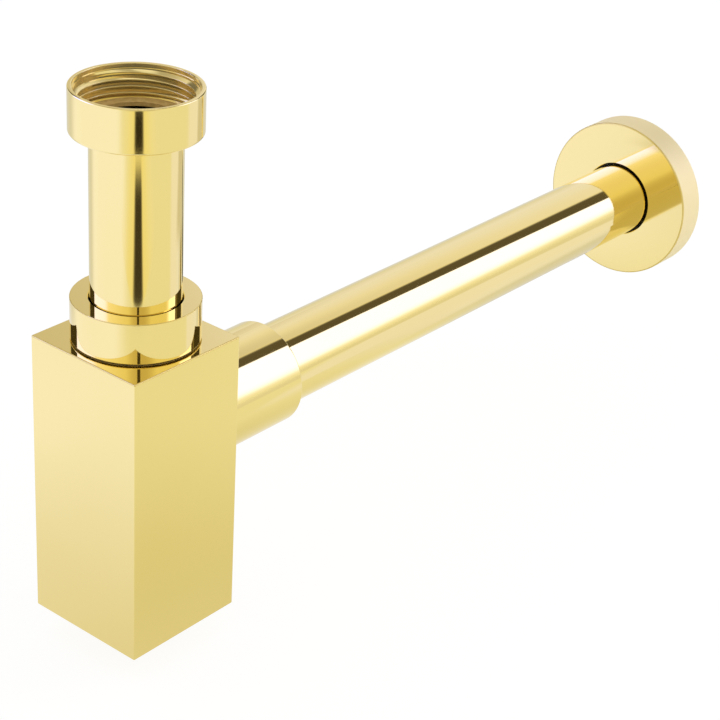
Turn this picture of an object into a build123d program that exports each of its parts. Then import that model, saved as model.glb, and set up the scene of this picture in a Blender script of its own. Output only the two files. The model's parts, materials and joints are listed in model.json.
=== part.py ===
from build123d import *
import os

os.makedirs("parts", exist_ok=True)

# Square bottle trap for a washbasin, all sizes in millimetres.
# The origin is the middle of the seat where the basin waste screws in, +Z is up the inlet
# and +Y runs along the outlet pipe to the wall.

# Tubes and threads
pipe_d = 32.0  # outside of the inlet tube and the outlet pipe
pipe_wall = 1.2
pipe_thread_depth = 1.48  # of the inlet's pipe thread, one and a quarter inches at this tube size
fine_thread_depth = 0.92  # of the outlet's and the plug's threads, 1.5 mm pitch
bore_edge_break = 0.3  # chamfer where a tube passes out of a turned piece

# Clearances
seal_gap = 0.05  # running gap between a tube and the rubber that grips it
slip_gap = 0.35  # round a tube where metal passes over it
thread_gap = 0.05  # radial, between the crests of a male thread and its nut
face_gap = 0.1  # between stacked flat faces
seal_rim_gap = 0.3  # lets the thread of a collar pass over the rubber and its slip ring

# Square body
body_side = 51.0
body_height = 112.0
body_wall = 2.5
body_roof = 3.0
body_floor = 8.0
body_edge_round = 0.5
cavity_corner_round = 4.0

# Inlet: union nut over the lip of a tube that dips into the body
tube_reach = 76.0  # from the top of the body to the underside of the union nut
dip_clearance = 10.0  # from the floor of the body to the end of the tube
lip_width = 3.3
lip_thickness = 1.2
lip_pass_gap = 0.175  # lets the lip pass through the thread of the nut
washer_thickness = 1.4
union_wall = 1.8  # outside the root of the thread
union_shoulder = 1.8
union_thread_length = 9.7
union_ledge_depth = 0.6  # how far the washer stands above the ledge beside it
union_relief_cut = 0.35
union_entry_cut = 0.3
union_entry_depth = 1.8
union_top_round = 0.5
union_bottom_round = 1.0

# Inlet collar, which squeezes a rubber ring onto the tube
neck_height = 8.0
neck_wall = 3.125  # from the passage to the root of the thread
neck_mouth_depth = 2.5
inlet_seal_height = 3.0  # above the neck
slip_ring_thickness = 1.5
collar_wall = 1.8
collar_shoulder = 3.0
collar_stand_off = 0.7  # open line between the collar and the body
collar_edge_round = 0.25

# Outlet: a long collar over a neck at the back of the body
outlet_drop = 39.0  # from the top of the body to the outlet axis
outlet_neck_reach = 31.5
outlet_neck_wall = 1.23
outlet_socket_depth = 25.0
outlet_mouth_depth = 1.0
outlet_seal_height = 4.3
outlet_collar_wall = 1.65
outlet_collar_shoulder = 4.0
outlet_collar_stand_off = 0.6
outlet_collar_round = 0.7
pipe_length = 300.0
pipe_insertion = 12.0  # how deep the pipe sits in the outlet neck
pipe_end_chamfer = 0.4
depth_mark_width = 1.0
depth_mark_depth = 0.3

# Wall flange, a deep cap that slides along the pipe
wall_entry = 23.0  # length of pipe behind the flange
flange_d = 71.5
flange_depth = 13.5
flange_plate = 2.0
flange_skirt = 1.5
flange_bore_gap = 0.8
flange_edge_round = 0.5
flange_hub_wall = 2.2
flange_hub_length = 9.0
grip_ring_width = 3.0
grip_ring_thickness = 2.2

# Cleaning plug in the bottom of the body
plug_thread_d = 34.0
plug_head_lap = 3.5  # of the head over the thread
plug_head_thickness = 3.2
plug_sink = 0.2  # how far the plug lies inside the bottom face
plug_head_gap = 0.4
plug_edge_chamfer = 0.4
plug_slot_width = 3.0
plug_slot_length = 26.0
plug_slot_depth = 1.8
ring_section_d = 1.8

# Radii shared by the inlet pieces
tube_radius = pipe_d / 2
tube_bore_radius = tube_radius - pipe_wall
passage_radius = tube_radius + slip_gap
lip_radius = tube_radius + lip_width
union_thread_radius = lip_radius + lip_pass_gap + pipe_thread_depth
union_radius = union_thread_radius + union_wall
neck_radius = passage_radius + neck_wall
collar_bore_radius = neck_radius + pipe_thread_depth + thread_gap
collar_radius = collar_bore_radius + collar_wall
seal_radius = neck_radius - seal_rim_gap

# Heights up the inlet, from the seat down
lip_top = -washer_thickness
lip_bottom = lip_top - lip_thickness
shoulder_top = lip_bottom - face_gap
nut_bottom = shoulder_top - union_shoulder
nut_top = union_thread_length + union_entry_depth
body_top = nut_bottom - tube_reach
body_bottom = body_top - body_height
cavity_bottom = body_bottom + body_floor
cavity_top = body_top - body_roof
dip_end = cavity_bottom + dip_clearance

# Heights in the inlet collar, from the neck up
neck_top = body_top + neck_height
seal_top = neck_top + inlet_seal_height
slip_ring_bottom = seal_top + face_gap
slip_ring_top = slip_ring_bottom + slip_ring_thickness
collar_ceiling = slip_ring_top + face_gap
collar_top = collar_ceiling + collar_shoulder
collar_bottom = body_top + collar_stand_off

# Radii round the outlet pipe
outlet_neck_radius = passage_radius + outlet_neck_wall
outlet_bore_radius = outlet_neck_radius + fine_thread_depth + thread_gap
outlet_collar_radius = outlet_bore_radius + outlet_collar_wall
outlet_seal_radius = outlet_neck_radius - seal_rim_gap
flange_radius = flange_d / 2
flange_bore_radius = tube_radius + flange_bore_gap
grip_groove_radius = tube_radius + grip_ring_thickness
hub_radius = grip_groove_radius + flange_hub_wall

# Distances along the outlet, from the inlet axis
outlet_z = body_top - outlet_drop
body_back = body_side / 2
neck_end = body_back + outlet_neck_reach
socket_end = neck_end - outlet_socket_depth
pipe_start = neck_end - pipe_insertion
pipe_end = pipe_start + pipe_length
wall_reach = pipe_end - wall_entry
outlet_seal_end = neck_end + outlet_seal_height
outlet_ring_start = outlet_seal_end + face_gap
outlet_ring_end = outlet_ring_start + slip_ring_thickness
outlet_ceiling = outlet_ring_end + face_gap
outlet_collar_end = outlet_ceiling + outlet_collar_shoulder
outlet_collar_start = body_back + outlet_collar_stand_off
flange_front = wall_reach - flange_depth
hub_end = flange_front + flange_hub_length
grip_groove_start = flange_front + (flange_hub_length - grip_ring_width) / 2
grip_groove_end = grip_groove_start + grip_ring_width

# Radii and heights in the cleaning plug, from the bottom up
plug_thread_radius = plug_thread_d / 2
plug_core_radius = plug_thread_radius - fine_thread_depth
plug_head_radius = plug_thread_radius + plug_head_lap
plug_bottom = body_bottom + plug_sink
plug_head_top = plug_bottom + plug_head_thickness
plug_seat = plug_head_top + plug_head_gap
plug_ring_radius = (plug_thread_radius + plug_head_radius) / 2
ring_section_radius = ring_section_d / 2
ring_bottom = plug_seat - face_gap - ring_section_d
ring_groove_floor = ring_bottom - face_gap
ring_groove_inside = plug_ring_radius - ring_section_radius - face_gap
ring_groove_outside = plug_ring_radius + ring_section_radius + face_gap

# Sketch planes: a turned profile is drawn as (radius, distance along the axis)
inlet_profile = Plane.XZ
outlet_profile = Plane(origin=(0, 0, outlet_z), x_dir=(0, 0, 1), z_dir=(-1, 0, 0))
outlet_section = Plane(origin=(0, 0, outlet_z), x_dir=(1, 0, 0), z_dir=(0, 1, 0))
outlet_axis = Axis((0, 0, outlet_z), (0, 1, 0))

# Trap body: square box with a neck on top, a neck at the back and a hole for the plug below
with BuildPart() as trap_body:
    with BuildSketch(Plane.XY.offset(body_bottom)):
        Rectangle(body_side, body_side)
    extrude(amount=body_height)
    fillet(trap_body.edges(), radius=body_edge_round)
    with BuildSketch(Plane.XY.offset(body_top - body_roof)):
        Circle(neck_radius)
    extrude(amount=body_roof + neck_height)
    with BuildSketch(outlet_section.offset(body_back - body_wall)):
        Circle(outlet_neck_radius)
    extrude(amount=body_wall + outlet_neck_reach)
    with BuildSketch(Plane.XY.offset(cavity_bottom)):
        RectangleRounded(body_side - 2 * body_wall, body_side - 2 * body_wall, cavity_corner_round)
    extrude(amount=cavity_top - cavity_bottom, mode=Mode.SUBTRACT)
    with BuildSketch(inlet_profile):
        with BuildLine():
            Polyline(
                (0, cavity_top),
                (passage_radius, cavity_top),
                (passage_radius, neck_top - neck_mouth_depth),
                (passage_radius + neck_mouth_depth, neck_top),
                (0, neck_top),
                close=True,
            )
        make_face()
    revolve(axis=Axis.Z, mode=Mode.SUBTRACT)
    with BuildSketch(outlet_profile):
        with BuildLine():
            Polyline(
                (0, body_back - body_wall),
                (tube_bore_radius, body_back - body_wall),
                (tube_bore_radius, socket_end),
                (passage_radius, socket_end),
                (passage_radius, neck_end - outlet_mouth_depth),
                (passage_radius + outlet_mouth_depth, neck_end),
                (0, neck_end),
                close=True,
            )
        make_face()
    revolve(axis=outlet_axis, mode=Mode.SUBTRACT)
    with BuildSketch(Plane.XY.offset(body_bottom)):
        Circle(plug_head_radius + slip_gap)
    extrude(amount=plug_seat - body_bottom, mode=Mode.SUBTRACT)
    with BuildSketch(Plane.XY.offset(body_bottom)):
        Circle(plug_thread_radius + thread_gap)
    extrude(amount=body_floor, mode=Mode.SUBTRACT)
trap_body.part.label = "trap_body"
export_step(trap_body.part, "parts/trap_body.step")

# Inlet tube: brass tube with a turned lip on top, open at the end that dips into the water
with BuildPart() as inlet_tube:
    with BuildSketch(inlet_profile):
        with BuildLine():
            Polyline(
                (tube_bore_radius, dip_end),
                (tube_radius, dip_end),
                (tube_radius, lip_bottom),
                (lip_radius, lip_bottom),
                (lip_radius, lip_top),
                (tube_bore_radius, lip_top),
                close=True,
            )
        make_face()
    revolve(axis=Axis.Z)
inlet_tube.part.label = "inlet_tube"
export_step(inlet_tube.part, "parts/inlet_tube.step")

# Union washer: flat fibre ring on the lip, squeezed by the end of the basin waste
with BuildPart() as union_washer:
    with BuildSketch(Plane.XY.offset(lip_top)):
        Circle(lip_radius)
        Circle(tube_bore_radius, mode=Mode.SUBTRACT)
    extrude(amount=washer_thickness)
union_washer.part.label = "union_washer"
export_step(union_washer.part, "parts/union_washer.step")

# Union nut: plain round nut whose shoulder lifts the lip of the tube
with BuildPart() as union_nut:
    with BuildSketch(inlet_profile):
        with BuildLine():
            Polyline(
                (passage_radius, nut_bottom),
                (union_radius, nut_bottom),
                (union_radius, nut_top),
                (union_thread_radius + union_entry_cut, nut_top),
                (union_thread_radius + union_entry_cut, union_thread_length),
                (union_thread_radius, union_thread_length),
                (union_thread_radius, 0),
                (union_thread_radius + union_relief_cut, 0),
                (union_thread_radius + union_relief_cut, -union_ledge_depth),
                (lip_radius + slip_gap, -union_ledge_depth),
                (lip_radius + slip_gap, shoulder_top),
                (passage_radius, shoulder_top),
                close=True,
            )
        make_face()
    revolve(axis=Axis.Z)
    nut_edges = union_nut.edges().filter_by(GeomType.CIRCLE)
    chamfer(nut_edges.group_by(SortBy.RADIUS)[0].sort_by(Axis.Z)[0], length=bore_edge_break)
    nut_rim = union_nut.edges().filter_by(GeomType.CIRCLE).group_by(Axis.Z)[-1].sort_by(SortBy.RADIUS)
    fillet(nut_rim[0], radius=bore_edge_break)
    fillet(nut_rim[-1], radius=union_top_round)
    nut_foot = union_nut.edges().filter_by(GeomType.CIRCLE).group_by(Axis.Z)[0].sort_by(SortBy.RADIUS)
    fillet(nut_foot[-1], radius=union_bottom_round)
union_nut.part.label = "union_nut"
export_step(union_nut.part, "parts/union_nut.step")

# Inlet seal: rubber ring with a coned foot, lying in the mouth of the neck
with BuildPart() as inlet_seal:
    with BuildSketch(inlet_profile):
        with BuildLine():
            Polyline(
                (tube_radius + seal_gap, neck_top - neck_mouth_depth + slip_gap),
                (passage_radius - face_gap, neck_top - neck_mouth_depth + slip_gap),
                (passage_radius + neck_mouth_depth - slip_gap - face_gap, neck_top),
                (seal_radius, neck_top),
                (seal_radius, seal_top),
                (tube_radius + seal_gap, seal_top),
                close=True,
            )
        make_face()
    revolve(axis=Axis.Z)
inlet_seal.part.label = "inlet_seal"
export_step(inlet_seal.part, "parts/inlet_seal.step")

# Inlet slip ring: plastic ring that lets the collar turn without dragging the rubber
with BuildPart() as inlet_slip_ring:
    with BuildSketch(Plane.XY.offset(slip_ring_bottom)):
        Circle(seal_radius)
        Circle(passage_radius, mode=Mode.SUBTRACT)
    extrude(amount=slip_ring_thickness)
inlet_slip_ring.part.label = "inlet_slip_ring"
export_step(inlet_slip_ring.part, "parts/inlet_slip_ring.step")

# Inlet collar: round nut that screws down over the neck on top of the body
with BuildPart() as inlet_collar:
    with BuildSketch(inlet_profile):
        with BuildLine():
            Polyline(
                (collar_bore_radius, collar_bottom),
                (collar_radius, collar_bottom),
                (collar_radius, collar_top),
                (passage_radius, collar_top),
                (passage_radius, collar_ceiling),
                (collar_bore_radius, collar_ceiling),
                close=True,
            )
        make_face()
    revolve(axis=Axis.Z)
    collar_edges = inlet_collar.edges().filter_by(GeomType.CIRCLE).group_by(SortBy.RADIUS)
    chamfer(collar_edges[0].sort_by(Axis.Z)[-1], length=bore_edge_break)
    collar_edges = inlet_collar.edges().filter_by(GeomType.CIRCLE).group_by(SortBy.RADIUS)
    fillet(collar_edges[-1], radius=collar_edge_round)
inlet_collar.part.label = "inlet_collar"
export_step(inlet_collar.part, "parts/inlet_collar.step")

# Outlet seal: rubber ring with a small coned foot in the mouth of the outlet neck
with BuildPart() as outlet_seal:
    with BuildSketch(outlet_profile):
        with BuildLine():
            Polyline(
                (tube_radius + seal_gap, neck_end - outlet_mouth_depth + slip_gap),
                (passage_radius - face_gap, neck_end - outlet_mouth_depth + slip_gap),
                (passage_radius + outlet_mouth_depth - slip_gap - face_gap, neck_end),
                (outlet_seal_radius, neck_end),
                (outlet_seal_radius, outlet_seal_end),
                (tube_radius + seal_gap, outlet_seal_end),
                close=True,
            )
        make_face()
    revolve(axis=outlet_axis)
outlet_seal.part.label = "outlet_seal"
export_step(outlet_seal.part, "parts/outlet_seal.step")

# Outlet slip ring: plastic ring between the outlet collar and its rubber
with BuildPart() as outlet_slip_ring:
    with BuildSketch(outlet_section.offset(outlet_ring_start)):
        Circle(outlet_seal_radius)
        Circle(passage_radius, mode=Mode.SUBTRACT)
    extrude(amount=slip_ring_thickness)
outlet_slip_ring.part.label = "outlet_slip_ring"
export_step(outlet_slip_ring.part, "parts/outlet_slip_ring.step")

# Outlet collar: long sleeve nut that hides the neck and squeezes the seal onto the pipe
with BuildPart() as outlet_collar:
    with BuildSketch(outlet_profile):
        with BuildLine():
            Polyline(
                (outlet_bore_radius, outlet_collar_start),
                (outlet_collar_radius, outlet_collar_start),
                (outlet_collar_radius, outlet_collar_end),
                (passage_radius, outlet_collar_end),
                (passage_radius, outlet_ceiling),
                (outlet_bore_radius, outlet_ceiling),
                close=True,
            )
        make_face()
    revolve(axis=outlet_axis)
    sleeve_edges = outlet_collar.edges().filter_by(GeomType.CIRCLE).group_by(SortBy.RADIUS)
    chamfer(sleeve_edges[0].sort_by(Axis.Y)[-1], length=bore_edge_break)
    sleeve_edges = outlet_collar.edges().filter_by(GeomType.CIRCLE).group_by(SortBy.RADIUS)
    fillet(sleeve_edges[-1].sort_by(Axis.Y)[-1], radius=outlet_collar_round)
outlet_collar.part.label = "outlet_collar"
export_step(outlet_collar.part, "parts/outlet_collar.step")

# Outlet pipe: straight brass tube with a fine turned ring that marks its depth in the wall
with BuildPart() as outlet_pipe:
    with BuildSketch(outlet_section.offset(pipe_start)):
        Circle(tube_radius)
        Circle(tube_bore_radius, mode=Mode.SUBTRACT)
    extrude(amount=pipe_length)
    pipe_outer_edges = outlet_pipe.edges().filter_by(GeomType.CIRCLE).group_by(SortBy.RADIUS)[-1]
    chamfer(pipe_outer_edges, length=pipe_end_chamfer)
    with BuildSketch(outlet_section.offset(wall_reach + depth_mark_width / 2)):
        Circle(tube_radius)
        Circle(tube_radius - depth_mark_depth, mode=Mode.SUBTRACT)
    extrude(amount=depth_mark_width, mode=Mode.SUBTRACT)
outlet_pipe.part.label = "outlet_pipe"
export_step(outlet_pipe.part, "parts/outlet_pipe.step")

# Wall flange: turned cap, open to the wall, with a grooved hub round the pipe
with BuildPart() as wall_flange:
    with BuildSketch(outlet_profile):
        with BuildLine():
            Polyline(
                (flange_bore_radius, flange_front),
                (flange_radius, flange_front),
                (flange_radius, wall_reach),
                (flange_radius - flange_skirt, wall_reach),
                (flange_radius - flange_skirt, flange_front + flange_plate),
                (hub_radius, flange_front + flange_plate),
                (hub_radius, hub_end),
                (flange_bore_radius, hub_end),
                (flange_bore_radius, grip_groove_end),
                (grip_groove_radius, grip_groove_end),
                (grip_groove_radius, grip_groove_start),
                (flange_bore_radius, grip_groove_start),
                close=True,
            )
        make_face()
    revolve(axis=outlet_axis)
    flange_edges = wall_flange.edges().filter_by(GeomType.CIRCLE).group_by(SortBy.RADIUS)
    chamfer(flange_edges[0].sort_by(Axis.Y)[0], length=bore_edge_break)
    flange_edges = wall_flange.edges().filter_by(GeomType.CIRCLE).group_by(SortBy.RADIUS)
    fillet(flange_edges[-1].sort_by(Axis.Y)[0], radius=flange_edge_round)
wall_flange.part.label = "wall_flange"
export_step(wall_flange.part, "parts/wall_flange.step")

# Flange grip ring: square rubber ring in the hub's groove that holds the flange in place
with BuildPart() as flange_grip_ring:
    with BuildSketch(outlet_section.offset(grip_groove_start + face_gap)):
        Circle(grip_groove_radius - face_gap)
        Circle(tube_radius + seal_gap, mode=Mode.SUBTRACT)
    extrude(amount=grip_ring_width - 2 * face_gap)
flange_grip_ring.part.label = "flange_grip_ring"
export_step(flange_grip_ring.part, "parts/flange_grip_ring.step")

# Cleaning plug: screwed disc with a coin slot and a groove for its ring
with BuildPart() as cleaning_plug:
    with BuildSketch(inlet_profile):
        with BuildLine():
            Polyline(
                (0, plug_bottom),
                (plug_head_radius, plug_bottom),
                (plug_head_radius, plug_head_top),
                (ring_groove_outside, plug_head_top),
                (ring_groove_outside, ring_groove_floor),
                (ring_groove_inside, ring_groove_floor),
                (ring_groove_inside, plug_head_top),
                (plug_core_radius, plug_head_top),
                (plug_core_radius, cavity_bottom),
                (0, cavity_bottom),
                close=True,
            )
        make_face()
    revolve(axis=Axis.Z)
    plug_rim = cleaning_plug.edges().filter_by(GeomType.CIRCLE).group_by(SortBy.RADIUS)[-1]
    chamfer(plug_rim.sort_by(Axis.Z)[0], length=plug_edge_chamfer)
    with BuildSketch(Plane.XY.offset(plug_bottom)):
        Rectangle(plug_slot_length, plug_slot_width)
    extrude(amount=plug_slot_depth, mode=Mode.SUBTRACT)
cleaning_plug.part.label = "cleaning_plug"
export_step(cleaning_plug.part, "parts/cleaning_plug.step")

# Plug ring: rubber ring of round section that seals the plug against the body
with BuildPart() as plug_ring:
    with BuildSketch(inlet_profile):
        with Locations((plug_ring_radius, ring_bottom + ring_section_radius)):
            Circle(ring_section_radius)
    revolve(axis=Axis.Z)
plug_ring.part.label = "plug_ring"
export_step(plug_ring.part, "parts/plug_ring.step")
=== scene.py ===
import json
import math

import bmesh
import bpy
from mathutils import Matrix, Vector


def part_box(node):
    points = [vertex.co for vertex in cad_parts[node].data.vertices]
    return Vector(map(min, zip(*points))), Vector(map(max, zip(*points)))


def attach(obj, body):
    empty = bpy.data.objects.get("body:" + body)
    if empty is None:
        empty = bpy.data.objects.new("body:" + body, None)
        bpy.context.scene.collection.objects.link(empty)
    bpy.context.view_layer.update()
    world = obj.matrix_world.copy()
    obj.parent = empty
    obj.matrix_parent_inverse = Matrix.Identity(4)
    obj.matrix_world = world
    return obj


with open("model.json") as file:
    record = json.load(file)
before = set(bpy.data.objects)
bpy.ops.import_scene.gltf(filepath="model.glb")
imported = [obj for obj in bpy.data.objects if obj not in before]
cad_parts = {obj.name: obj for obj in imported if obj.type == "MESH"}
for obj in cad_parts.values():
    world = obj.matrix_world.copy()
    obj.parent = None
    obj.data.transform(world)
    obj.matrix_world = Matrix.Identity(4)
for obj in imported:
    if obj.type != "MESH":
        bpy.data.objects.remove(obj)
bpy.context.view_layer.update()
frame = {"nodes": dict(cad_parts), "record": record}

# Trap body: a square brass box with a round neck on top and another at the back, cast in one
# piece, milled flat, buffed to a mirror on every side and then plated with pale gold.
mm = 0.001
pale_gold = (0.958, 0.814, 0.376, 1.0)
deep_gold = (0.946, 0.796, 0.356, 1.0)
# Painted shade: the deeper gold of the rounded edges.
shaded_edge_gold = (0.800, 0.630, 0.200, 1.0)
mirror_roughness = 0.025
haze_roughness = 0.05
edge_roughness = 0.3
dull_loss = 0.25
ring_relief = 0.4
ring_haze = 0.3
buffing_depth = 0.0007 * mm
body_low, body_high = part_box("trap_body")
collar_low, collar_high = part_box("inlet_collar")
neck_bottom = collar_low.z
open_line = 0.7 * mm
roof = neck_bottom - open_line
edge_round = 0.5 * mm
edge_blur = 0.1 * mm
lathe_cut_radius = 22.5 * mm
lathe_cut_blur = 0.2 * mm
lathe_cut_bottom = roof - 0.8 * mm
lathe_cut_fade = 0.5 * mm


class Field:
    """A value that changes over a surface: one socket of a finish, ready for arithmetic."""

    def __init__(self, tree, socket):
        self.tree = tree
        self.socket = socket

    def feed(self, made, sockets):
        """Gives a node's sockets their values, or links them to other fields."""
        for name, value in sockets.items():
            if isinstance(value, Field):
                self.tree.links.new(value.socket, made.inputs[name])
            else:
                made.inputs[name].default_value = value

    def node(self, kind, settings, sockets, output=0):
        """Adds a node to the same finish, its settings first and then its sockets."""
        made = self.tree.nodes.new(kind)
        for name, value in settings.items():
            setattr(made, name, value)
        self.feed(made, sockets)
        return Field(self.tree, made.outputs[output])

    def math(self, operation, first, second):
        return self.node("ShaderNodeMath", {"operation": operation}, {0: first, 1: second})

    def __add__(self, other):
        return self.math("ADD", self, other)

    def __sub__(self, other):
        return self.math("SUBTRACT", self, other)

    def __rsub__(self, other):
        return self.math("SUBTRACT", other, self)

    def __mul__(self, other):
        return self.math("MULTIPLY", self, other)

    __radd__ = __add__
    __rmul__ = __mul__

    def noise(self, scale, detail):
        """Cloudy variation at this place, with scale in clouds to the metre."""
        sockets = {"Vector": self, "Scale": scale, "Detail": detail}
        return self.node("ShaderNodeTexNoise", {}, sockets)

    def along(self, axis):
        """One coordinate of this place."""
        return self.node("ShaderNodeSeparateXYZ", {}, {0: self}, output="XYZ".index(axis))

    def lines(self, scale, detail):
        """Variation along one coordinate only, as a turning tool or a buffing wheel leaves it."""
        sockets = {"W": self, "Scale": scale, "Detail": detail}
        return self.node("ShaderNodeTexNoise", {"noise_dimensions": "1D"}, sockets)

    def bump(self, strength, distance):
        """Relief with this height, for the Normal of a finish."""
        sockets = {"Strength": strength, "Distance": distance, "Height": self}
        return self.node("ShaderNodeBump", {}, sockets)

    def ramp(self, low, high):
        """Nought below low, one above high, and a smooth rise between them."""
        sockets = {"Value": self, "From Min": low, "From Max": high}
        return self.node("ShaderNodeMapRange", {"interpolation_type": "SMOOTHSTEP"}, sockets)

    def past(self, limit, blur):
        """Nought below a limit and one above it, with the step blurred to either side."""
        return self.ramp(limit - blur, limit + blur)

    def blend(self, first, second, way="MIX"):
        """A colour between two others, by this share of the second, or the first tinted by it."""
        settings = {"data_type": "RGBA", "blend_type": way}
        return self.node("ShaderNodeMix", settings, {0: self, 6: first, 7: second}, output=2)

    def from_axis(self, axis, middle=(0.0, 0.0, 0.0)):
        """The distance of this place from an axis through a middle point."""
        kept = [0.0 if letter == axis else 1.0 for letter in "XYZ"]
        moved = self.node("ShaderNodeVectorMath", {"operation": "SUBTRACT"}, {0: self, 1: middle})
        flat = self.node("ShaderNodeVectorMath", {"operation": "MULTIPLY"}, {0: moved, 1: kept})
        return self.node("ShaderNodeVectorMath", {"operation": "LENGTH"}, {0: flat}, output=1)


def start_finish(name):
    """A new material and the place on the piece, from which its patterns are worked out."""
    finish = bpy.data.materials.new(name)
    finish.use_nodes = True
    place = finish.node_tree.nodes.new("ShaderNodeTexCoord")
    return finish, Field(finish.node_tree, place.outputs["Object"])


def set_surface(finish, place, sockets):
    """Gives the finish its colour, gloss and relief."""
    place.feed(finish.node_tree.nodes["Principled BSDF"], sockets)


def gold_plate(name, turned_along=None, matt_share=None, matt_roughness=0.3, matt_gold=deep_gold,
               edge_share=None):
    """Buffed and plated brass. A turned piece has fine rings along its axis, a flat one none.
    matt_share and edge_share give the share of unbuffed metal and of rounded edge at a place."""
    finish, place = start_finish(name)
    tone = place.noise(scale=14.0, detail=2.0)
    haze = place.noise(scale=140.0, detail=4.0)
    relief = place.noise(scale=420.0, detail=1.0)
    if turned_along:
        rings = place.along(turned_along).lines(scale=2600.0, detail=2.0)
        relief = relief * (1 - ring_relief) + rings * ring_relief
        haze = haze * (1 - ring_haze) + rings * ring_haze
    colour = tone.ramp(0.25, 0.75).blend(deep_gold, pale_gold)
    roughness = mirror_roughness + haze_roughness * haze
    metallic = 1.0
    if edge_share:
        edge = edge_share(place)
        # Painted shade: the rounded edges take a deeper gold; their rougher, duller metal is the
        # finish.
        colour = edge.blend(colour, shaded_edge_gold)
        roughness = roughness + edge_roughness * edge
        metallic = metallic - dull_loss * edge
    if matt_share:
        matt = matt_share(place)
        if edge_share:
            matt = matt * (1 - edge)
        colour = matt.blend(colour, matt_gold)
        roughness = roughness + matt_roughness * matt
        metallic = metallic - dull_loss * matt
    set_surface(finish, place, {
        "Base Color": colour,
        "Metallic": metallic,
        "Roughness": roughness,
        "Normal": relief.bump(strength=1.0, distance=buffing_depth),
    })
    return finish


def dress(node, finish):
    """Puts a finish on a piece of the frame in place of its plain one."""
    for slot in frame["nodes"][node].material_slots:
        slot.material = finish


def under_the_collar(place):
    """The top neck and the ring of the roof round it, left as the lathe cut them."""
    above_walls = place.along("Z").past(lathe_cut_bottom, lathe_cut_fade)
    return above_walls * (1 - place.from_axis("Z").past(lathe_cut_radius, lathe_cut_blur))


def on_the_roof_edges(place):
    """The rounded edges of the roof, which come off the wheel softer than the flats, with painted
    shade in their deeper gold.
    """
    spread = place.node("ShaderNodeVectorMath", {"operation": "ABSOLUTE"}, {0: place})
    farthest = spread.math("MAXIMUM", spread.along("X"), spread.along("Y"))
    near_side = farthest.past(body_high.x - edge_round, edge_blur)
    return near_side * place.along("Z").past(roof - edge_round, edge_blur)


gold_body = gold_plate("gold_body", matt_share=under_the_collar, edge_share=on_the_roof_edges)
dress("trap_body", gold_body)

# Threads on the body: a coarse pipe thread on the top neck, a fine one at the root of the back
# neck and a fine one in the hole below. They are cut in a lathe, so they are part of the casting.
pipe_thread = {
    "pitch": 2.309 * mm,
    "depth": 1.48 * mm,
    "flank": math.radians(27.5),
    "play": 0.12 * mm,
}
fine_thread = {
    "pitch": 1.5 * mm,
    "depth": 0.92 * mm,
    "flank": math.radians(30.0),
    "play": 0.08 * mm,
}
thread_sink = 0.03 * mm
thread_fade_turns = 0.25
thread_crease = math.radians(50.0)
crest_round = 0.35
steps_in_turn = 96
weld_distance = 0.0001 * mm
neck_top = body_high.z
neck_core = 19.475 * mm
outlet_core = 17.58 * mm
outlet_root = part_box("outlet_collar")[0].y
outlet_thread_end = outlet_root + 10.6 * mm
outlet_low, outlet_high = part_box("outlet_pipe")
outlet_height = (outlet_low.z + outlet_high.z) / 2
plug_hole_wall = 17.05 * mm
plug_low, plug_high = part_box("cleaning_plug")
plug_head = 3.7 * mm
plug_hole_start = plug_low.z + plug_head
turn_to_outlet = Matrix.Translation((0, 0, outlet_height)) @ Matrix.Rotation(-math.pi / 2, 4, "X")


def draw_ridge(name, depth, root_width, crest_width, side, place):
    """The section of a ridge in the XZ plane, with its middle at a place and a rounded crest.
    side is 1 for a crest that points away from the Z axis and -1 for one towards it."""
    bpy.ops.object.select_all(action="DESELECT")
    bpy.ops.mesh.primitive_plane_add(size=1.0, rotation=(math.pi / 2, 0, 0))
    ridge = bpy.context.object
    ridge.name = name
    bpy.ops.object.transform_apply(location=True, rotation=True, scale=True)
    bpy.ops.object.mode_set(mode="EDIT")
    bpy.ops.mesh.delete(type="ONLY_FACE")
    bpy.ops.mesh.select_all(action="SELECT")
    bpy.ops.transform.resize(value=(depth, 1, root_width))
    section = bmesh.from_edit_mesh(ridge.data)
    for corner in section.verts:
        corner.select_set(corner.co.x * side > 0)
    section.select_flush_mode()
    bmesh.update_edit_mesh(ridge.data)
    bpy.ops.transform.resize(value=(1, 1, crest_width / root_width))
    bpy.ops.mesh.bevel(offset=crest_width * crest_round, segments=3, affect="VERTICES")
    bpy.ops.mesh.select_all(action="SELECT")
    bpy.ops.transform.translate(value=place)
    bpy.ops.object.mode_set(mode="OBJECT")
    return ridge


def wind_ridge(ridge, pitch, turns):
    """Sweeps the section of a ridge up a helix round the Z axis."""
    helix = ridge.modifiers.new("helix", "SCREW")
    helix.axis = "Z"
    helix.angle = turns * 2 * math.pi
    helix.screw_offset = turns * pitch
    helix.steps = round(turns * steps_in_turn)
    helix.render_steps = helix.steps
    helix.use_smooth_shade = True
    bpy.ops.object.modifier_apply(modifier=helix.name)


def run_out(ridge, root, start, pitch, turns):
    """Sinks a wound ridge into its wall over the first and the last part of a turn."""
    for point in ridge.data.vertices:
        share = math.atan2(point.co.y, point.co.x) / (2 * math.pi)
        turn_here = share + round((point.co.z - start) / pitch - share)
        fade = min(1.0, turn_here / thread_fade_turns, (turns - turn_here) / thread_fade_turns)
        radius = math.hypot(point.co.x, point.co.y)
        shrink = (root + (radius - root) * max(0.0, fade)) / radius
        point.co.x *= shrink
        point.co.y *= shrink


def close_mesh():
    """Welds and closes the mesh of the piece at work and turns its faces outwards."""
    bpy.ops.object.mode_set(mode="EDIT")
    bpy.ops.mesh.select_all(action="SELECT")
    bpy.ops.mesh.remove_doubles(threshold=weld_distance)
    bpy.ops.mesh.fill_holes(sides=0)
    bpy.ops.mesh.normals_make_consistent(inside=False)
    bpy.ops.object.mode_set(mode="OBJECT")


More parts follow.
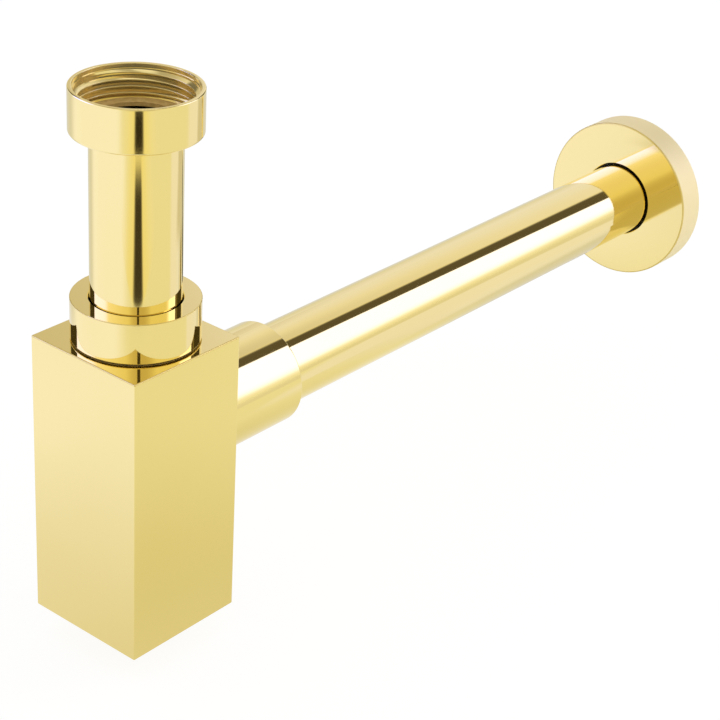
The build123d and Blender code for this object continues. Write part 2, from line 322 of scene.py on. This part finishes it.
def cut_thread(name, form, wall, inward, start, end, crossing, body, finish, turn=None):
    """A helical ridge on a turned wall between two heights, running out at both ends.
    crossing is a height at which the middle of the ridge passes the +X side."""
    pitch = form["pitch"]
    depth = form["depth"] + thread_sink
    middle_width = pitch / 2 - form["play"]
    slope = math.tan(form["flank"]) * form["depth"]
    root_width = middle_width + slope
    crest_width = middle_width - slope
    side = -1 if inward else 1
    ridge_start = start + root_width / 2
    turns = (end - start - root_width) / pitch
    first_angle = (ridge_start - crossing) / pitch * 2 * math.pi
    place = (wall + side * (depth / 2 - thread_sink), 0, ridge_start)
    ridge = draw_ridge(name, depth, root_width, crest_width, side, place)
    wind_ridge(ridge, pitch, turns)
    run_out(ridge, wall - side * thread_sink, ridge_start, pitch, turns)
    close_mesh()
    ridge.data.transform(Matrix.Rotation(first_angle, 4, "Z"))
    if turn:
        ridge.data.transform(turn)
    bpy.ops.object.shade_smooth_by_angle(angle=thread_crease)
    ridge.data.materials.append(finish)
    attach(ridge, body)


gold_upright = gold_plate("gold_turned_upright", turned_along="Z")
gold_lying = gold_plate("gold_turned_lying", turned_along="Y")
cut_thread("inlet_neck_thread", pipe_thread, neck_core, inward=False,
           start=neck_bottom, end=neck_top, crossing=neck_bottom,
           body="trap", finish=gold_upright)
cut_thread("outlet_neck_thread", fine_thread, outlet_core, inward=False,
           start=outlet_root, end=outlet_thread_end, crossing=outlet_root,
           body="trap", finish=gold_lying, turn=turn_to_outlet)
cut_thread("plug_hole_thread", fine_thread, plug_hole_wall, inward=True,
           start=plug_hole_start, end=plug_high.z, crossing=plug_hole_start,
           body="trap", finish=gold_upright)

# Cleaning plug: a turned brass disc with a coin slot, screwed into the floor of the body. A black
# rubber ring of round section lies in a groove of its head and makes the joint watertight.
plug_core = 16.08 * mm
rubber_black = (0.012, 0.012, 0.013, 1.0)
rubber_grey = (0.034, 0.033, 0.032, 1.0)


def moulded_rubber(name):
    """Black rubber as it leaves a mould: a dull skin with a fine grain and a grey bloom."""
    finish, place = start_finish(name)
    bloom = place.noise(scale=180.0, detail=5.0)
    grain = place.noise(scale=2800.0, detail=3.0)
    set_surface(finish, place, {
        "Base Color": bloom.ramp(0.35, 0.75).blend(rubber_black, rubber_grey),
        "Roughness": 0.5 + 0.25 * grain,
        "Normal": grain.bump(strength=0.6, distance=0.02 * mm),
    })
    return finish


dress("cleaning_plug", gold_upright)
cut_thread("cleaning_plug_thread", fine_thread, plug_core, inward=False,
           start=plug_hole_start, end=plug_high.z,
           crossing=plug_hole_start + fine_thread["pitch"] / 2,
           body="plug", finish=gold_upright)
seal_rubber = moulded_rubber("seal_rubber")
dress("plug_ring", seal_rubber)

# Inlet tube: a drawn brass tube with a turned lip on top, polished and plated like the body. It
# hangs from its lip in the union nut and dips into the water in the body.
dress("inlet_tube", gold_upright)

# Inlet seal and slip ring: a black rubber ring with a coned foot sits in the mouth of the neck,
# and a thin ring of white plastic on it lets the collar turn without dragging the rubber.
plastic_white = (0.78, 0.78, 0.74, 1.0)
plastic_shade = (0.70, 0.70, 0.67, 1.0)


def moulded_plastic(name):
    """Natural white plastic with the faint flow lines and satin skin of a moulding."""
    finish, place = start_finish(name)
    flow = place.noise(scale=120.0, detail=3.0)
    skin = place.noise(scale=1500.0, detail=2.0)
    set_surface(finish, place, {
        "Base Color": flow.blend(plastic_white, plastic_shade),
        "Roughness": 0.3 + 0.2 * flow,
        "Normal": skin.bump(strength=0.4, distance=0.01 * mm),
    })
    return finish


slip_plastic = moulded_plastic("slip_plastic")
dress("inlet_seal", seal_rubber)
dress("inlet_slip_ring", slip_plastic)

# Inlet collar: a plain round brass nut, turned, polished and plated. It screws down over the neck
# and squeezes the rubber onto the tube, with a thin open line left between it and the body.
collar_wall = 21.005 * mm
collar_edge = 0.30 * mm
collar_edge_blur = 0.05 * mm


def on_the_collar_edge(place):
    """The small round on the top edge of the collar."""
    near_top = place.along("Z").past(collar_high.z - collar_edge, collar_edge_blur)
    return near_top * place.from_axis("Z").past(collar_high.x - collar_edge, collar_edge_blur)


dress("inlet_collar", gold_plate("gold_collar", turned_along="Z", edge_share=on_the_collar_edge))
cut_thread("inlet_collar_thread", pipe_thread, collar_wall, inward=True,
           start=neck_bottom, end=neck_top, crossing=neck_bottom + pipe_thread["pitch"] / 2,
           body="inlet_clamp", finish=gold_upright)

# Union nut and washer: a round brass nut that turns freely under the lip of the tube. Its pipe
# thread takes the tail of the basin waste, which presses on a flat ring of tan pressed fibre.
waste = next(mount for mount in frame["record"]["mounts"] if mount["name"] == "waste_inlet")
nut_wall = waste["dims"]["r_mm"] * mm
nut_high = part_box("union_nut")[1]
nut_entry = 1.8 * mm
nut_seat = 0.0
nut_buffed = 21.5 * mm
nut_buffed_blur = 0.1 * mm
crest_below_rim = 3.1 * mm
far_side = math.radians(128.4)
fibre_tan = (0.56, 0.37, 0.11, 1.0)
fibre_pale = (0.68, 0.48, 0.17, 1.0)


def pressed_fibre(name):
    """Tan board pressed from fine fibres, matt and slightly mottled."""
    finish, place = start_finish(name)
    mottle = place.noise(scale=500.0, detail=6.0)
    strands = place.noise(scale=4000.0, detail=3.0)
    set_surface(finish, place, {
        "Base Color": mottle.ramp(0.3, 0.7).blend(fibre_tan, fibre_pale),
        "Roughness": 0.6 + 0.25 * strands,
        "Normal": strands.bump(strength=0.7, distance=0.03 * mm),
    })
    return finish


def inside_the_nut(place):
    """The bored and threaded inside, which the buffing wheel does not reach."""
    return 1 - place.from_axis("Z").past(nut_buffed, nut_buffed_blur)


gold_nut = gold_plate("gold_nut", turned_along="Z", matt_share=inside_the_nut, matt_roughness=0.07)
dress("union_nut", gold_nut)
dress("union_washer", pressed_fibre("pressed_fibre"))
crossing_height = nut_high.z - crest_below_rim - far_side / (2 * math.pi) * pipe_thread["pitch"]
cut_thread("union_nut_thread", pipe_thread, nut_wall, inward=True,
           start=nut_seat, end=nut_high.z - nut_entry, crossing=crossing_height,
           body="union", finish=gold_nut)

# Outlet seal, slip ring and collar: the same joint on its side at the back of the body. The collar
# is a long plain sleeve of turned and plated brass that hides the neck.
outlet_wall = 18.55 * mm
dress("outlet_seal", seal_rubber)
dress("outlet_slip_ring", slip_plastic)
dress("outlet_collar", gold_lying)
cut_thread("outlet_collar_thread", fine_thread, outlet_wall, inward=True,
           start=outlet_root, end=outlet_thread_end,
           crossing=outlet_root + fine_thread["pitch"] / 2,
           body="outlet_clamp", finish=gold_lying, turn=turn_to_outlet)

# Outlet pipe: a straight length of drawn brass tube, polished and plated, that slides into the
# outlet neck and on through the flange into the wall. A fine turned ring marks its depth.
dress("outlet_pipe", gold_lying)

# Wall flange: a deep brass cap, turned, polished and plated, that hides the hole in the wall. A
# square black rubber ring in its hub grips the pipe and keeps it where it is pushed.
flange_low, flange_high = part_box("wall_flange")
flange_axis = (0.0, 0.0, outlet_height)
flange_edge = 0.6 * mm
satin_start = 0.3 * mm
satin_blur = 0.2 * mm
satin_roughness = 0.6
satin_gold = (0.970, 0.860, 0.520, 1.0)


def on_the_rim(place):
    """The rim, which has a satin polish."""
    return place.from_axis("Y", flange_axis).past(flange_high.x - satin_start, satin_blur)


def on_the_front_edge(place):
    """The rounded edge between the face and the rim."""
    behind_face = place.along("Y").past(flange_low.y + flange_edge, edge_blur)
    near_rim = place.from_axis("Y", flange_axis).past(flange_high.x - flange_edge, edge_blur)
    return near_rim * (1 - behind_face)


gold_flange = gold_plate("gold_flange", turned_along="Y", matt_share=on_the_rim,
                         matt_roughness=satin_roughness, matt_gold=satin_gold,
                         edge_share=on_the_front_edge)
dress("wall_flange", gold_flange)
dress("flange_grip_ring", seal_rubber)

# Studio floor: a wide sheet of white paper a little below the trap. It shows white, with the soft
# shadow of the trap. In the metal it is cool on the left, warm on the right and greyer far behind:
# painted shade and painted gold bounce light on the right, painted shade towards the trap, and
# patches of painted light and shade.
floor_drop = 12 * mm
floor_radius = 4.0
floor_height = body_low.z - floor_drop
paper = (0.88, 0.88, 0.87, 1.0)
paper_white = (1.07, 1.07, 1.07, 1.0)
cool_light = (1.08, 1.09, 1.30, 1.0)
warm_light = (0.90, 0.87, 0.66, 1.0)
# Painted shade of the trap on the floor, seen only in the metal.
painted_shade_tint = (0.82, 0.79, 0.64, 1.0)
right_light = (0.95, 0.93, 1.03, 1.0)
behind_light = (0.74, 0.73, 0.70, 1.0)
far_light = (0.80, 0.75, 0.62, 1.0)
front_light = (0.62, 0.55, 0.35, 1.0)
to_warm_side = (0.95, 0.31, 0.0)
to_dim_side = (-0.574, 0.819, 0.0)
to_bright_side = (0.423, 0.906, 0.0)
to_far_side = (0.616, 0.788, 0.0)
to_near_side = (0.731, -0.682, 0.0)
shine_to_camera = 0.82
shine_in_metal = 0.80


def towards(place, direction):
    """How far a place or a direction lies towards a direction."""
    sockets = {0: place, 1: direction}
    return place.node("ShaderNodeVectorMath", {"operation": "DOT_PRODUCT"}, sockets, output=1)


def patch(place, away, direction, cosines, distances):
    """A patch of the floor that lies in a direction from the inlet. It rises from nought to one
    between two cosines of the angle off that direction, and between two distances."""
    cosine = place.math("DIVIDE", towards(place, direction), away)
    return cosine.ramp(*cosines) * away.ramp(*distances)


def light_path(place):
    """Whether a ray comes from the camera, and whether from a mirror or a clear surface."""
    direct = place.node("ShaderNodeLightPath", {}, {}, output="Is Camera Ray")
    glossy = place.node("ShaderNodeLightPath", {}, {}, output="Is Glossy Ray")
    through = place.node("ShaderNodeLightPath", {}, {}, output="Is Transmission Ray")
    return direct, glossy.math("MAXIMUM", glossy, through)


def show(finish, surface):
    """Makes a shader the surface of a finish."""
    output = finish.node_tree.nodes["Material Output"]
    surface.feed(output, {"Surface": surface})


def white_paper(name):
    """Paper that takes shadows, and shines by itself to the camera and in the metal."""
    finish, place = start_finish(name)
    direct, mirrored = light_path(place)
    away = place.from_axis("Z")
    # Painted shade and painted gold bounce light: dimmer and warmer towards the right.
    tone = towards(place, to_warm_side).ramp(-0.06, 0.10).blend(cool_light, warm_light)
    # Painted shade: darker towards the trap.
    tone = (1 - away.ramp(0.04, 0.22)).blend(tone, painted_shade_tint, "MULTIPLY")
    # Patches of painted light and painted shade, seen only in the metal.
    dimmer = patch(place, away, to_dim_side, cosines=(0.25, 0.65), distances=(0.20, 0.32))
    brighter = patch(place, away, to_bright_side, cosines=(0.950, 0.978), distances=(0.18, 0.28))
    beyond = patch(place, away, to_far_side, cosines=(0.90, 0.97), distances=(0.60, 0.75))
    in_front = patch(place, away, to_near_side, cosines=(0.86, 0.97), distances=(0.60, 0.70))
    tone = brighter.blend(dimmer.blend(tone, behind_light), right_light)
    tone = in_front.blend(beyond.blend(tone, far_light), front_light)
    colour = mirrored.blend(paper_white, tone)
    lit = place.node("ShaderNodeBsdfDiffuse", {}, {"Color": paper})
    shining = place.node("ShaderNodeEmission", {}, {"Color": colour, "Strength": 1.0})
    share = direct * shine_to_camera + mirrored * shine_in_metal
    show(finish, place.node("ShaderNodeMixShader", {}, {0: share, 1: lit, 2: shining}))
    return finish


bpy.ops.object.select_all(action="DESELECT")
bpy.ops.mesh.primitive_circle_add(vertices=96, radius=floor_radius, fill_type="NGON")
floor = bpy.context.object
floor.name = "floor"
floor.data.transform(Matrix.Translation((0, 0, floor_height)))
floor.data.materials.append(white_paper("white_paper"))

# Dark flags: strips of black card on the floor in front and behind, with a warm glow round them,
# and two warm grey cards of painted shade over the pipe and by the flange. Only the metal sees
# them, where they draw the dark lines along its round pieces.
flag_dark = (0.055, 0.045, 0.025, 1.0)
flag_black = (0.025, 0.018, 0.008, 1.0)
flag_warm = (0.90, 0.78, 0.40, 1.0)
glow_edge = (0.96, 0.90, 0.62, 1.0)
glow_middle = (0.93, 0.84, 0.46, 1.0)
shade_warm = (0.68, 0.64, 0.54, 1.0)
shade_brown = (0.62, 0.58, 0.40, 1.0)
front_bearing = 130.5
card_step = 0.5 * mm
above_pipe = outlet_high.z + 8.0 * mm
behind_tube = (-0.087, 0.371, floor_height + card_step)
behind_tube_turn = math.radians(-20.8)
by_flange = (0.055, 0.220, -0.163)


def glow_card(name, half_width, half_length, soft, edge_colour, middle_colour, one_sided):
    """Card that fades into clear at its edges. soft is the width of the fade at its low X, high X,
    low Y and high Y edges. A one-sided card shows only to what looks at it from its +Z side."""
    finish, place = start_finish(name)
    x, y = place.along("X"), place.along("Y")
    cover = x.ramp(-half_width, soft[0] - half_width)
    cover = cover * (1 - x.ramp(half_width - soft[1], half_width))
    cover = cover * y.ramp(-half_length, soft[2] - half_length)
    cover = cover * (1 - y.ramp(half_length - soft[3], half_length))
    if one_sided:
        cover = cover * (1 - place.node("ShaderNodeNewGeometry", {}, {}, output="Backfacing"))
    clear = place.node("ShaderNodeBsdfTransparent", {}, {})
    colour = cover.ramp(0.25, 0.85).blend(edge_colour, middle_colour)
    glow = place.node("ShaderNodeEmission", {}, {"Color": colour, "Strength": 1.0})
    show(finish, place.node("ShaderNodeMixShader", {}, {0: cover, 1: clear, 2: glow}))
    return finish


def hang_card(name, matrix, half_width, half_length, soft, edge_colour=flag_warm,
              middle_colour=flag_dark, one_sided=False):
    """A card lying in its own X and Y, seen only in the metal."""
    bpy.ops.object.select_all(action="DESELECT")
    bpy.ops.mesh.primitive_plane_add(size=2.0)
    card = bpy.context.object
    card.name = name
    card.data.transform(Matrix.Diagonal((half_width, half_length, 1.0, 1.0)))
    card.matrix_world = matrix
    card.data.materials.append(
        glow_card(name, half_width, half_length, soft, edge_colour, middle_colour, one_sided))
    card.visible_camera = False
    card.visible_diffuse = False
    card.visible_shadow = False


def flat_flag(name, bearing, near, far, height, half_width, soft, edge_colour=flag_warm,
              middle_colour=flag_dark):
    """A level strip that points at the inlet, between two distances from it, seen from above.
    Bearing is in degrees from +Y towards +X."""
    middle = Matrix.Translation((0, -(near + far) / 2, height))
    lay = Matrix.Rotation(math.radians(180 - bearing), 4, "Z") @ middle
    half_length = (far - near) / 2
    hang_card(name, lay, half_width, half_length, soft, edge_colour, middle_colour, one_sided=True)


flat_flag("glow_by_flags", front_bearing, near=0.297, far=0.620, height=floor_height + card_step,
          half_width=0.300, soft=(0.250, 0.250, 0.030, 0.006),
          edge_colour=glow_edge, middle_colour=glow_middle)
flat_flag("flag_for_tube", front_bearing, near=0.297, far=0.545, height=floor_height + 2 * card_step,
          half_width=0.105, soft=(0.075, 0.065, 0.115, 0.006))
flat_flag("flag_for_nut", front_bearing, near=0.503, far=0.600, height=floor_height + 3 * card_step,
          half_width=0.115, soft=(0.080, 0.080, 0.015, 0.006), middle_colour=flag_black)
# A card of painted shadow: the shadow of the pipe on the floor, as the tube sees it.
flat_flag("shade_over_pipe", bearing=9.0, near=0.110, far=0.300, height=above_pipe,
          half_width=0.055, soft=(0.035, 0.030, 0.010, 0.040),
          edge_colour=shade_warm, middle_colour=shade_warm)
hang_card("flag_behind_tube",
          Matrix.Translation(behind_tube) @ Matrix.Rotation(behind_tube_turn, 4, "Z"),
          half_width=0.030, half_length=0.125, soft=(0.012, 0.012, 0.030, 0.030), one_sided=True)
hang_card("shade_by_flange",
          Matrix.Translation(by_flange) @ Matrix.Rotation(-math.pi / 2, 4, "X"),
          half_width=0.060, half_length=0.042, soft=(0.012, 0.030, 0.010, 0.006),
          edge_colour=shade_brown, middle_colour=shade_brown, one_sided=True)

# Softbox and room light: one large cloth-fronted lamp behind on the right, a white cloth in front
# on the left, dark flags beside them, and the white room round about, darker high up.
softbox_width = 1.2
softbox_height = 1.9
softbox_radiance = 2.3
softbox_white = (1.60, 1.60, 2.65, 1.0)
softbox_edge = (1.15, 1.12, 1.35, 1.0)
left_white = (1.30, 1.42, 4.30, 1.0)
left_edge = (1.05, 1.12, 1.60, 1.0)
flag_brown = (0.110, 0.090, 0.055, 1.0)
white = (1.0, 1.0, 1.0, 1.0)
room_level = (0.78, 0.78, 0.78, 1.0)
room_low = (0.78, 0.75, 0.62, 1.0)
room_behind = (0.90, 0.88, 0.97, 1.0)
room_above = (0.89, 0.84, 0.78, 1.0)
room_zenith = (0.42, 0.37, 0.28, 1.0)
room_overhead = (1.00, 0.96, 0.92, 1.0)
room_shade = (0.66, 0.60, 0.48, 1.0)
to_behind = (-0.423, 0.906, 0.0)
to_front = (0.807, -0.565, 0.174)
over_pipe = Vector((0.0, 0.15, outlet_height))
over_neck = Vector((0.0, 0.0, neck_bottom))


def facing(bearing, rise, distance, middle=over_pipe):
    """A place on a dome round a middle point, with its own -Z towards that point.
    Bearing is from +Y towards +X."""
    up_turn = Matrix.Rotation(math.radians(rise), 3, "X")
    out = Matrix.Rotation(math.radians(-bearing), 3, "Z") @ up_turn @ Vector((0, 1, 0))
    turn = out.to_track_quat("Z", "Y").to_matrix().to_4x4()
    return Matrix.Translation(middle + out * distance) @ turn


lamp = bpy.data.lights.new("softbox", "AREA")
lamp.shape = "RECTANGLE"
lamp.size = softbox_width
lamp.size_y = softbox_height
lamp.energy = softbox_radiance * math.pi * softbox_width * softbox_height
softbox = bpy.data.objects.new("softbox", lamp)
softbox.matrix_world = facing(bearing=38.5, rise=18.0, distance=2.5)
softbox.visible_camera = False
softbox.visible_glossy = False
bpy.context.scene.collection.objects.link(softbox)
hang_card("softbox_cloth", facing(bearing=42.0, rise=22.0, distance=2.5),
          half_width=0.78, half_length=1.35, soft=(0.45, 0.06, 1.13, 0.12),
          edge_colour=softbox_edge, middle_colour=softbox_white)
hang_card("softbox_on_left", facing(bearing=-135.0, rise=19.0, distance=2.4),
          half_width=1.40, half_length=0.80, soft=(0.25, 1.30, 0.12, 0.30),
          edge_colour=left_edge, middle_colour=left_white)
hang_card("flag_over_pipe", facing(bearing=14.0, rise=33.0, distance=2.3),
          half_width=0.40, half_length=1.00, soft=(0.07, 0.28, 0.20, 0.12), middle_colour=flag_brown)
hang_card("flag_behind_body", facing(bearing=0.0, rise=21.0, distance=2.2),
          half_width=0.62, half_length=0.55, soft=(0.15, 0.20, 0.15, 0.15))
# A small dark card where the camera stands: a painted reflection of the camera in the metal.
hang_card("camera_reflection_card", facing(bearing=129.7, rise=27.0, distance=0.32, middle=over_neck),
          half_width=0.022, half_length=0.050, soft=(0.014, 0.014, 0.010, 0.010))
hang_card("flag_on_left", facing(bearing=-90.0, rise=27.0, distance=2.3),
          half_width=0.65, half_length=0.75, soft=(0.10, 0.10, 0.20, 0.20))
hang_card("flag_left_behind", facing(bearing=-64.0, rise=27.0, distance=2.4),
          half_width=0.95, half_length=0.60, soft=(0.54, 0.20, 0.20, 0.20),
          edge_colour=room_shade, middle_colour=room_shade)

world = bpy.data.worlds.new("white_room")
bpy.context.scene.world = world
world.use_nodes = True
look = world.node_tree.nodes.new("ShaderNodeTexCoord")
outwards = Field(world.node_tree, look.outputs["Generated"])
upwards = outwards.along("Z")
direct, mirrored = light_path(outwards)
room_tone = outwards.along("X").ramp(-0.5, 0.6).blend(cool_light, warm_light)
tone_behind = upwards.ramp(0.0, 0.35).blend(room_low, room_behind)
room_tone = towards(outwards, to_behind).ramp(0.35, 0.75).blend(room_tone, tone_behind)
room_tone = towards(outwards, to_front).ramp(0.84, 0.97).blend(room_tone, front_light)
room_tone = upwards.ramp(0.50, 0.72).blend(room_tone, room_above)
room_tone = upwards.ramp(0.64, 0.92).blend(room_tone, room_zenith)
room_tone = upwards.ramp(0.93, 0.98).blend(room_tone, room_overhead)
room_seen = direct.blend(mirrored.blend(room_level, room_tone), white)
outwards.feed(world.node_tree.nodes["Background"], {"Color": room_seen, "Strength": 1.0})

# Camera: in front, to the right and above, at the distance and lens that give the picture its
# mild perspective, with the trap filling a square frame.
camera_place = (0.44871, -0.44022, 0.24336)
camera_yaw = math.radians(38.412)
camera_pitch = math.radians(27.735)
camera_roll = math.radians(3.495)
lens_length = 101.29
sensor_width = 36.0
lens_data = bpy.data.cameras.new("camera")
lens_data.sensor_width = sensor_width
lens_data.lens = lens_length
camera = bpy.data.objects.new("camera", lens_data)
turn_yaw = Matrix.Rotation(camera_yaw, 4, "Z")
turn_pitch = Matrix.Rotation(math.pi / 2 - camera_pitch, 4, "X")
turn_roll = Matrix.Rotation(camera_roll, 4, "Z")
camera.matrix_world = Matrix.Translation(camera_place) @ turn_yaw @ turn_pitch @ turn_roll
bpy.context.scene.collection.objects.link(camera)
bpy.context.scene.camera = camera
bpy.context.scene.view_settings.view_transform = "Standard"
